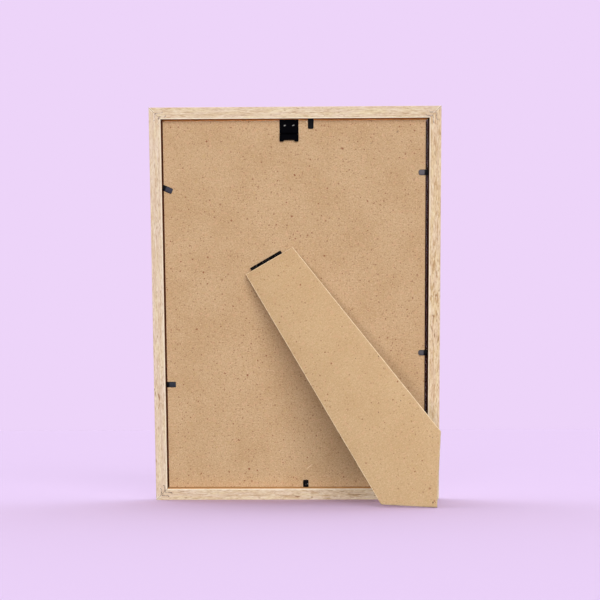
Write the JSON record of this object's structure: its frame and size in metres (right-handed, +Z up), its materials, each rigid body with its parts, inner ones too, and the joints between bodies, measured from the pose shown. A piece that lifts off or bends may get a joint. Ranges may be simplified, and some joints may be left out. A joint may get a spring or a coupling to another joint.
{
  "type": "photo frame",
  "caption": "Portrait wooden photo frame for an A4 sheet, mitred rails, recessed fibreboard back held by bent tabs, angled hinged strut and a wall hanger.",
  "frame": {"origin": "floor level, below the middle of the object's bounding box, with the frame standing on its bottom back edge and its strut foot", "axes": "+Z up; the picture faces -Y and leans back; the back, hanger and strut face +Y; X runs along the bottom rail"},
  "size_m": [0.2314, 0.1294, 0.3143],
  "materials": {
    "oak_top": "fine sanded, clear matt",
    "oak_bottom": "fine sanded, clear matt",
    "oak_left": "fine sanded, clear matt",
    "oak_right": "fine sanded, clear matt",
    "bare_steel": "dull, cut edge",
    "clear_glass": "polished",
    "print_paper": "matt print",
    "fibreboard_back": "smooth pressed fibreboard",
    "fibreboard_strut": "smooth pressed fibreboard",
    "black_metal": "semi-gloss black",
    "black_rivet": "worn semi-gloss black",
    "tab_metal": "satin black",
    "pin_steel": "dark"
  },
  "bodies": {
    "frame": {"rail_top": "oak_top", "rail_bottom": "oak_bottom", "rail_left": "oak_left", "rail_right": "oak_right", "corner_nails": "bare_steel", "glazing": "clear_glass", "print_sheet": "print_paper", "backing_board": "fibreboard_back", "hanger_plate": "black_metal", "hanger_rivets": "black_rivet", "tab_shanks": "tab_metal", "hinge_leaf_board": "black_metal", "hinge_rivets_board": "black_rivet", "hinge_pin": "pin_steel"},
    "strut_body": {"strut": "fibreboard_strut", "hinge_leaf_strut": "black_metal", "hinge_rivets_strut": "black_rivet"},
    "tab_top_body": {"tab_top": "tab_metal"},
    "tab_bottom_body": {"tab_bottom": "tab_metal"},
    "tab_left_upper_body": {"tab_left_upper": "tab_metal"},
    "tab_left_lower_body": {"tab_left_lower": "tab_metal"},
    "tab_right_upper_body": {"tab_right_upper": "tab_metal"},
    "tab_right_lower_body": {"tab_right_lower": "tab_metal"}
  },
  "joints": [
    {"name": "strut_hinge", "type": "hinge", "parent": "frame", "child": "strut_body", "pos_m": [0.02388, -0.01012, 0.19228], "axis": [-0.866, 0.1086, 0.4881], "range_deg": [0, 26]},
    {"name": "tab_top_bend", "type": "hinge", "parent": "frame", "child": "tab_top_body", "pos_m": [-0.0125, 0.01331, 0.30242], "axis": [1, 0, 0], "range_deg": [0, 85]},
    {"name": "tab_bottom_bend", "type": "hinge", "parent": "frame", "child": "tab_bottom_body", "pos_m": [-0.007, -0.05158, 0.01075], "axis": [-1, 0, 0], "range_deg": [0, 85]},
    {"name": "tab_left_upper_bend", "type": "hinge", "parent": "frame", "child": "tab_left_upper_body", "pos_m": [0.10513, 0.00162, 0.24986], "axis": [0.3987, -0.1991, -0.8952], "range_deg": [0, 85]},
    {"name": "tab_left_lower_bend", "type": "hinge", "parent": "frame", "child": "tab_left_lower_body", "pos_m": [0.1059, -0.03306, 0.09397], "axis": [0, -0.2172, -0.9761], "range_deg": [0, 85]},
    {"name": "tab_right_upper_bend", "type": "hinge", "parent": "frame", "child": "tab_right_upper_body", "pos_m": [-0.1059, 0.00409, 0.26098], "axis": [0, 0.2172, 0.9761], "range_deg": [0, 85]},
    {"name": "tab_right_lower_bend", "type": "hinge", "parent": "frame", "child": "tab_right_lower_body", "pos_m": [-0.1059, -0.02753, 0.11886], "axis": [0, 0.2172, 0.9761], "range_deg": [0, 85]}
  ]
}
